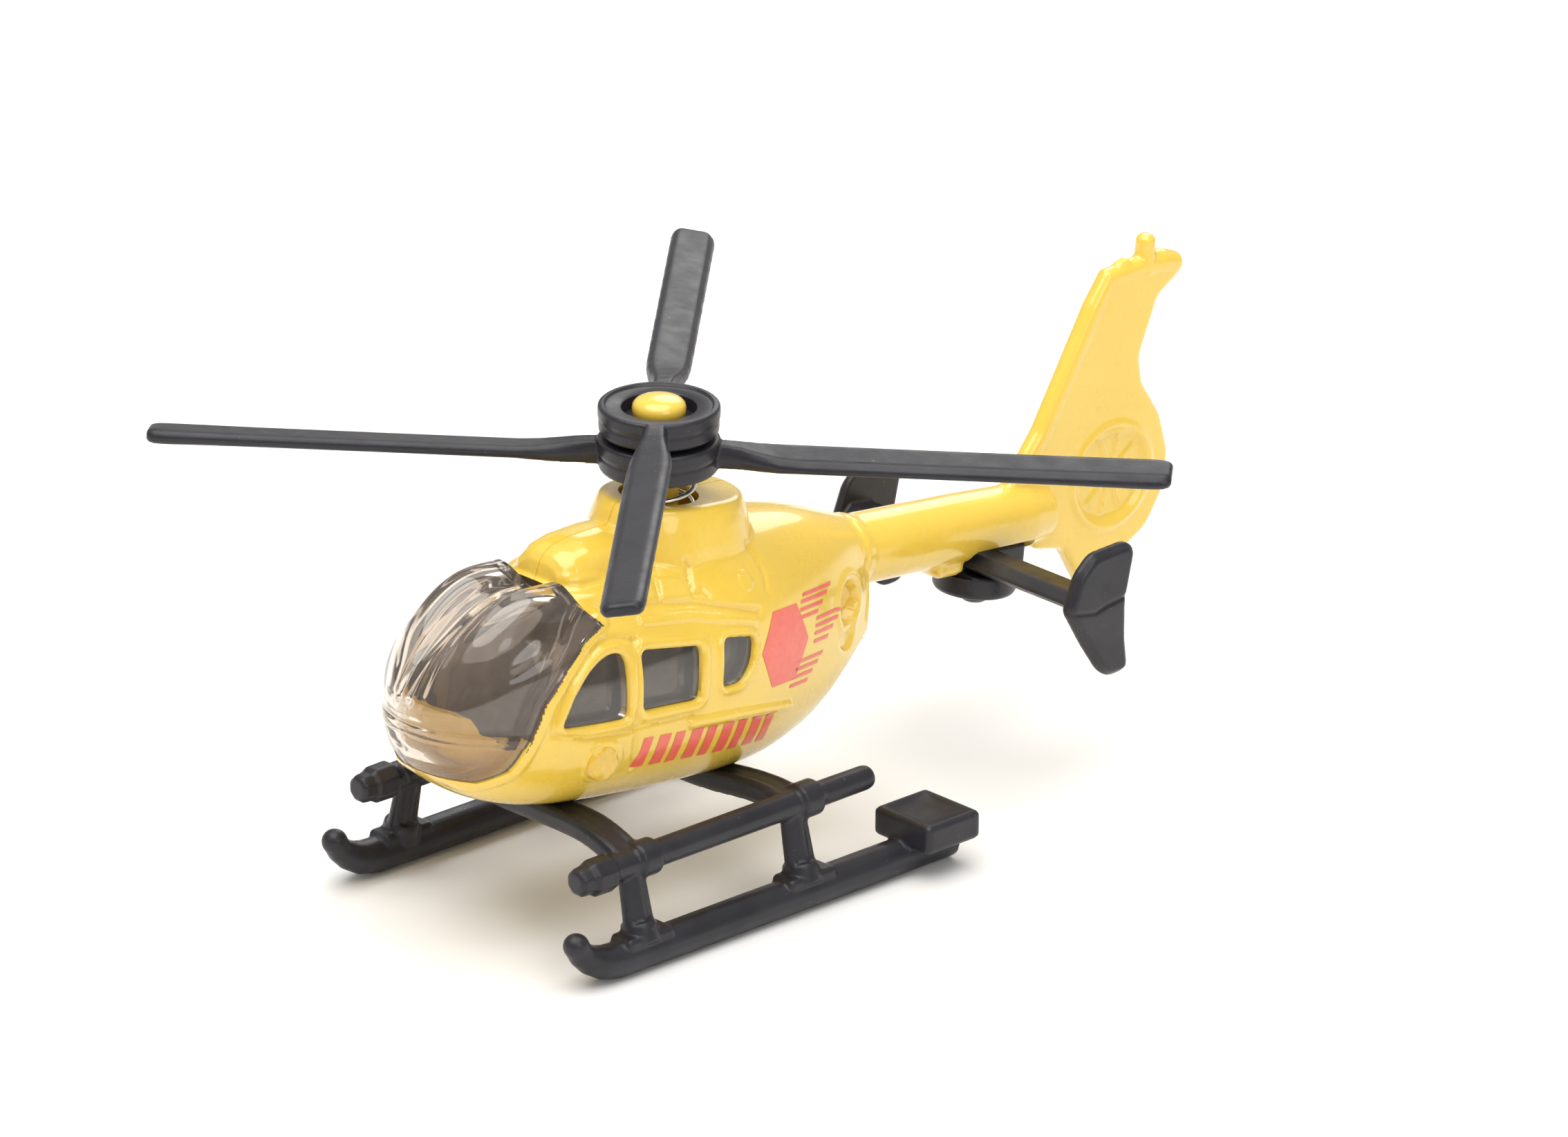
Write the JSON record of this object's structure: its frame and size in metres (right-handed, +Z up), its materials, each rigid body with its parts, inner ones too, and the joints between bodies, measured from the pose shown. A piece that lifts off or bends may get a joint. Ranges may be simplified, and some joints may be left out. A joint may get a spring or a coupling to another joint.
{
  "type": "toy helicopter",
  "caption": "Small die-cast toy ambulance helicopter with clear cabin glazing, skids, enclosed tail fan and a stacked rotor of turning blade rings.",
  "frame": {"origin": "the centre of the whole helicopter's bounding box in X and Y, on the plane under the skids", "axes": "+X to the helicopter's left (port), -Y towards the nose, +Z up"},
  "size_m": [0.0586, 0.0832, 0.0377],
  "materials": {
    "yellow_enamel": "gloss enamel over die-cast zinc",
    "black_plastic": "satin moulded",
    "smoke_clear": "clear, brown smoke tint",
    "spring_steel": "bright wire"
  },
  "bodies": {
    "airframe": {"body_left_half": "yellow_enamel", "body_right_half": "yellow_enamel", "cabin_glazing": "smoke_clear", "front_rivet": "yellow_enamel", "rear_rivet": "yellow_enamel", "landing_gear": "black_plastic", "rotor_mast": "yellow_enamel", "mast_spring": "spring_steel", "tail_stabilizer": "black_plastic"},
    "lower_rotor_ring": {"lower_rotor": "black_plastic"},
    "upper_rotor_ring": {"upper_rotor": "black_plastic"}
  },
  "joints": [
    {"name": "lower_rotor_spin", "type": "hinge", "parent": "airframe", "child": "lower_rotor_ring", "pos_m": [0, -0.01294, 0.0332], "axis": [0, 0, 1], "continuous": true},
    {"name": "upper_rotor_spin", "type": "hinge", "parent": "airframe", "child": "upper_rotor_ring", "pos_m": [0, -0.01294, 0.0359], "axis": [0, 0, 1], "continuous": true}
  ]
}
